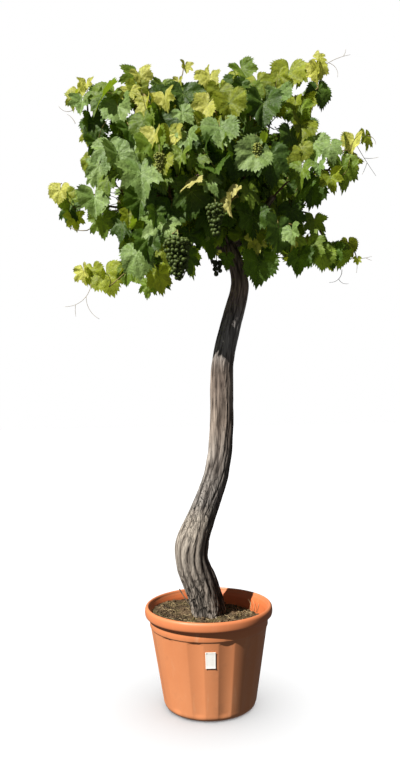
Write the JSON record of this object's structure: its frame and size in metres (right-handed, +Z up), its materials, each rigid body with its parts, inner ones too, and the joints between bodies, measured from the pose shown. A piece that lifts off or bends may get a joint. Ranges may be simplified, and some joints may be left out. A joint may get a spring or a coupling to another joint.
{
  "type": "potted grapevine",
  "caption": "Grapevine trained as a small standard tree: a bent bare trunk carries a wide leafy crown, and stands in a round fluted plastic pot.",
  "frame": {"origin": "centre of the pot's flat underside", "axes": "+Z up along the plant; the label on the pot faces -Y; +X is to the right when the label is seen from the front"},
  "size_m": [1.2267, 0.9113, 2.5061],
  "materials": {
    "pot_plastic": "satin moulded plastic in terracotta orange, lightly dusty",
    "soil": "dry crumbly potting soil with straw and dead leaf litter",
    "label": "plain white plant label, semi-matte",
    "bark": "weathered grey-brown shredding bark with deep long fissures",
    "foliage": "vine leaves, matte to satin, mid green with pale blue-green and young yellow-green sprays"
  },
  "bodies": {
    "root": {"bough_back": "bark", "bough_back_left": "bark", "bough_back_right": "bark", "bough_front": "bark", "bough_leader": "bark", "bough_left": "bark", "bough_right": "bark", "crown_back": "foliage", "crown_back_left": "foliage", "crown_back_low_left": "foliage", "crown_back_low_right": "foliage", "crown_back_right": "foliage", "crown_centre": "foliage", "crown_hump_left": "foliage", "crown_left": "foliage", "crown_low_centre": "foliage", "crown_low_left": "foliage", "crown_low_mid": "foliage", "crown_low_right": "foliage", "crown_mid_left": "foliage", "crown_mid_right": "foliage", "crown_right": "foliage", "crown_right_low": "foliage", "crown_top": "foliage", "crown_top_centre": "foliage", "crown_top_left": "foliage", "crown_top_right": "foliage", "crown_upper_left": "foliage", "crown_upper_right": "foliage", "label": "label", "pot": "pot_plastic", "soil": "soil", "spray_left": "foliage", "spray_low_left": "foliage", "spray_low_right": "foliage", "spray_right": "foliage", "spray_top_left": "foliage", "spray_top_right": "foliage", "trunk": "bark"}
  },
  "joints": []
}
